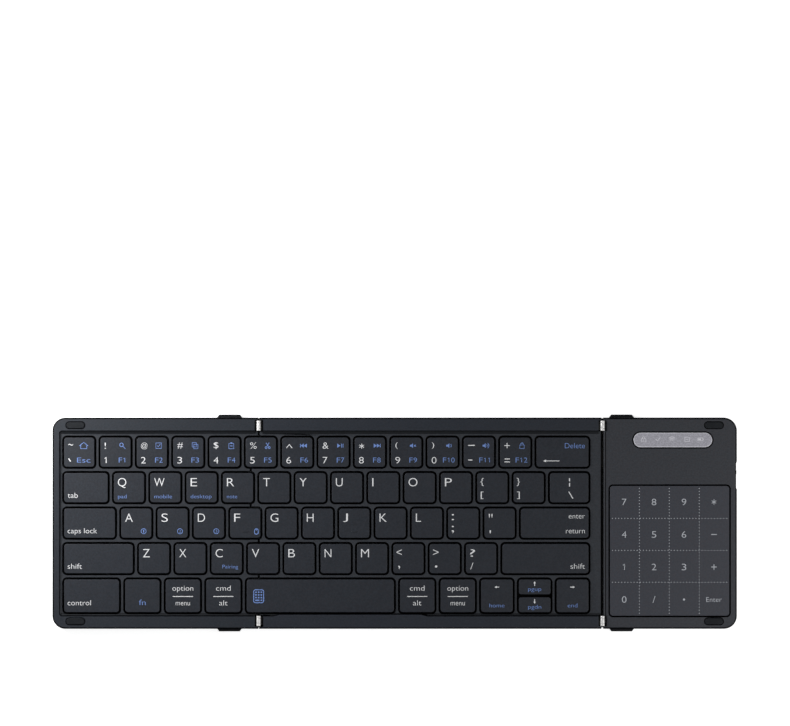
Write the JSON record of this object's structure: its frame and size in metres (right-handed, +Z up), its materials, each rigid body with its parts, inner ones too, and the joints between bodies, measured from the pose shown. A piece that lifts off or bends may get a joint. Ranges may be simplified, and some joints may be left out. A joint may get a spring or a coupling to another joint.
{
  "type": "folding keyboard",
  "caption": "Wireless keyboard in three hinged panels that fold inwards, with scissor keys on two of them and a touch number pad on the third.",
  "frame": {"origin": "on the desk, under the centre of the open keyboard", "axes": "+X along the keyboard towards the number pad, +Y towards its rear edge, +Z up"},
  "size_m": [0.3184, 0.101, 0.0092],
  "materials": {
    "case_plastic": "fine satin",
    "pad_panel_plastic": "fine satin",
    "cover_plastic": "matt grained",
    "keycap_plastic": "matt",
    "base_steel": "bare sheet",
    "membrane_film": "clear film, printed",
    "dome_rubber": "matt",
    "link_plastic": "moulded",
    "hinge_metal": "bright",
    "screw_steel": "plated",
    "foot_rubber": "matt",
    "bumper_rubber": "matt",
    "touch_surface": "silky",
    "board_laminate": "solder mask",
    "chip_plastic": "moulded",
    "battery_foil": "laminated foil",
    "socket_steel": "plated",
    "window_silver": "silvered, glossy",
    "light_guide_plastic": "clear",
    "switch_plastic": "ribbed",
    "flex_film": "amber film"
  },
  "bodies": {
    "middle_panel": {"mid_frame": "case_plastic", "mid_bottom_cover": "cover_plastic", "mid_base_plate": "base_steel", "mid_membrane": "membrane_film", "mid_domes": "dome_rubber", "mid_scissors": "link_plastic", "mid_hinge_leaves": "hinge_metal", "mid_screws": "screw_steel", "mid_feet": "foot_rubber", "left_flex_cable": "flex_film", "right_flex_cable": "flex_film"},
    "left_panel": {"left_frame": "case_plastic", "left_bottom_cover": "cover_plastic", "left_base_plate": "base_steel", "left_membrane": "membrane_film", "left_domes": "dome_rubber", "left_scissors": "link_plastic", "left_hinge_leaves": "hinge_metal", "left_hinge_pins": "hinge_metal", "left_screws": "screw_steel", "left_feet": "foot_rubber", "left_bumpers": "bumper_rubber"},
    "right_panel": {"right_frame": "pad_panel_plastic", "right_bottom_cover": "cover_plastic", "touchpad_cover": "touch_surface", "touch_sensor_board": "board_laminate", "main_board": "board_laminate", "board_components": "chip_plastic", "battery": "battery_foil", "usb_c_socket": "socket_steel", "indicator_window": "window_silver", "indicator_light_guide": "light_guide_plastic", "right_hinge_leaves": "hinge_metal", "right_hinge_pins": "hinge_metal", "right_screws": "screw_steel", "right_feet": "foot_rubber", "right_bumpers": "bumper_rubber"},
    "power_switch": {"power_switch_knob": "switch_plastic"},
    "number_keys_left": {"number_keys_left": "keycap_plastic"},
    "top_row_keys_left": {"top_row_keys_left": "keycap_plastic"},
    "home_row_keys_left": {"home_row_keys_left": "keycap_plastic"},
    "bottom_row_keys_left": {"bottom_row_keys_left": "keycap_plastic"},
    "tab_key": {"tab_key": "keycap_plastic"},
    "caps_lock_key": {"caps_lock_key": "keycap_plastic"},
    "left_shift_key": {"left_shift_key": "keycap_plastic"},
    "control_key": {"control_key": "keycap_plastic"},
    "left_modifier_keys": {"left_modifier_keys": "keycap_plastic"},
    "number_keys_mid": {"number_keys_mid": "keycap_plastic"},
    "top_row_keys_mid": {"top_row_keys_mid": "keycap_plastic"},
    "home_row_keys_mid": {"home_row_keys_mid": "keycap_plastic"},
    "bottom_row_keys_mid": {"bottom_row_keys_mid": "keycap_plastic"},
    "backspace_key": {"backspace_key": "keycap_plastic"},
    "enter_key": {"enter_key": "keycap_plastic"},
    "right_shift_key": {"right_shift_key": "keycap_plastic"},
    "space_key": {"space_key": "keycap_plastic"},
    "right_modifier_keys": {"right_modifier_keys": "keycap_plastic"},
    "side_arrow_keys": {"side_arrow_keys": "keycap_plastic"},
    "up_arrow_key": {"up_arrow_key": "keycap_plastic"},
    "down_arrow_key": {"down_arrow_key": "keycap_plastic"}
  },
  "joints": [
    {"name": "left_fold", "type": "hinge", "parent": "middle_panel", "child": "left_panel", "pos_m": [-0.06323, 0, 0.0082], "axis": [0, 1, 0], "range_deg": [0, 180], "deforming": ["left_flex_cable"]},
    {"name": "right_fold", "type": "hinge", "parent": "middle_panel", "child": "right_panel", "pos_m": [0.09667, 0, 0.0082], "axis": [0, -1, 0], "range_deg": [0, 180], "deforming": ["right_flex_cable"]},
    {"name": "power_switch_slide", "type": "slide", "parent": "right_panel", "child": "power_switch", "axis": [0, -1, 0], "range_m": [0, 0.003]},
    {"name": "number_keys_left_press", "type": "slide", "parent": "left_panel", "child": "number_keys_left", "axis": [0, 0, -1], "range_m": [0, 0.0013], "stiffness_N_per_m": 1500, "springref_m": -0.0005, "deforming": ["left_domes", "left_scissors"]},
    {"name": "top_row_keys_left_press", "type": "slide", "parent": "left_panel", "child": "top_row_keys_left", "axis": [0, 0, -1], "range_m": [0, 0.0013], "stiffness_N_per_m": 1200, "springref_m": -0.0005, "deforming": ["left_domes", "left_scissors"]},
    {"name": "home_row_keys_left_press", "type": "slide", "parent": "left_panel", "child": "home_row_keys_left", "axis": [0, 0, -1], "range_m": [0, 0.0013], "stiffness_N_per_m": 1200, "springref_m": -0.0005, "deforming": ["left_domes", "left_scissors"]},
    {"name": "bottom_row_keys_left_press", "type": "slide", "parent": "left_panel", "child": "bottom_row_keys_left", "axis": [0, 0, -1], "range_m": [0, 0.0013], "stiffness_N_per_m": 900, "springref_m": -0.0005, "deforming": ["left_domes", "left_scissors"]},
    {"name": "tab_key_press", "type": "slide", "parent": "left_panel", "child": "tab_key", "axis": [0, 0, -1], "range_m": [0, 0.0013], "stiffness_N_per_m": 300, "springref_m": -0.0005, "deforming": ["left_domes", "left_scissors"]},
    {"name": "caps_lock_key_press", "type": "slide", "parent": "left_panel", "child": "caps_lock_key", "axis": [0, 0, -1], "range_m": [0, 0.0013], "stiffness_N_per_m": 300, "springref_m": -0.0005, "deforming": ["left_domes", "left_scissors"]},
    {"name": "left_shift_key_press", "type": "slide", "parent": "left_panel", "child": "left_shift_key", "axis": [0, 0, -1], "range_m": [0, 0.0013], "stiffness_N_per_m": 300, "springref_m": -0.0005, "deforming": ["left_domes", "left_scissors"]},
    {"name": "control_key_press", "type": "slide", "parent": "left_panel", "child": "control_key", "axis": [0, 0, -1], "range_m": [0, 0.0013], "stiffness_N_per_m": 300, "springref_m": -0.0005, "deforming": ["left_domes", "left_scissors"]},
    {"name": "left_modifier_keys_press", "type": "slide", "parent": "left_panel", "child": "left_modifier_keys", "axis": [0, 0, -1], "range_m": [0, 0.0013], "stiffness_N_per_m": 900, "springref_m": -0.0005, "deforming": ["left_domes", "left_scissors"]},
    {"name": "number_keys_mid_press", "type": "slide", "parent": "middle_panel", "child": "number_keys_mid", "axis": [0, 0, -1], "range_m": [0, 0.0013], "stiffness_N_per_m": 2400, "springref_m": -0.0005, "deforming": ["mid_domes", "mid_scissors"]},
    {"name": "top_row_keys_mid_press", "type": "slide", "parent": "middle_panel", "child": "top_row_keys_mid", "axis": [0, 0, -1], "range_m": [0, 0.0013], "stiffness_N_per_m": 2700, "springref_m": -0.0005, "deforming": ["mid_domes", "mid_scissors"]},
    {"name": "home_row_keys_mid_press", "type": "slide", "parent": "middle_panel", "child": "home_row_keys_mid", "axis": [0, 0, -1], "range_m": [0, 0.0013], "stiffness_N_per_m": 2100, "springref_m": -0.0005, "deforming": ["mid_domes", "mid_scissors"]},
    {"name": "bottom_row_keys_mid_press", "type": "slide", "parent": "middle_panel", "child": "bottom_row_keys_mid", "axis": [0, 0, -1], "range_m": [0, 0.0013], "stiffness_N_per_m": 2100, "springref_m": -0.0005, "deforming": ["mid_domes", "mid_scissors"]},
    {"name": "backspace_key_press", "type": "slide", "parent": "middle_panel", "child": "backspace_key", "axis": [0, 0, -1], "range_m": [0, 0.0013], "stiffness_N_per_m": 300, "springref_m": -0.0005, "deforming": ["mid_domes", "mid_scissors"]},
    {"name": "enter_key_press", "type": "slide", "parent": "middle_panel", "child": "enter_key", "axis": [0, 0, -1], "range_m": [0, 0.0013], "stiffness_N_per_m": 300, "springref_m": -0.0005, "deforming": ["mid_domes", "mid_scissors"]},
    {"name": "right_shift_key_press", "type": "slide", "parent": "middle_panel", "child": "right_shift_key", "axis": [0, 0, -1], "range_m": [0, 0.0013], "stiffness_N_per_m": 300, "springref_m": -0.0005, "deforming": ["mid_domes", "mid_scissors"]},
    {"name": "space_key_press", "type": "slide", "parent": "middle_panel", "child": "space_key", "axis": [0, 0, -1], "range_m": [0, 0.0013], "stiffness_N_per_m": 300, "springref_m": -0.0005, "deforming": ["mid_domes", "mid_scissors"]},
    {"name": "right_modifier_keys_press", "type": "slide", "parent": "middle_panel", "child": "right_modifier_keys", "axis": [0, 0, -1], "range_m": [0, 0.0013], "stiffness_N_per_m": 600, "springref_m": -0.0005, "deforming": ["mid_domes", "mid_scissors"]},
    {"name": "side_arrow_keys_press", "type": "slide", "parent": "middle_panel", "child": "side_arrow_keys", "axis": [0, 0, -1], "range_m": [0, 0.0013], "stiffness_N_per_m": 600, "springref_m": -0.0005, "deforming": ["mid_domes", "mid_scissors"]},
    {"name": "up_arrow_key_press", "type": "slide", "parent": "middle_panel", "child": "up_arrow_key", "axis": [0, 0, -1], "range_m": [0, 0.0013], "stiffness_N_per_m": 300, "springref_m": -0.0005, "deforming": ["mid_domes", "mid_scissors"]},
    {"name": "down_arrow_key_press", "type": "slide", "parent": "middle_panel", "child": "down_arrow_key", "axis": [0, 0, -1], "range_m": [0, 0.0013], "stiffness_N_per_m": 300, "springref_m": -0.0005, "deforming": ["mid_domes", "mid_scissors"]}
  ]
}
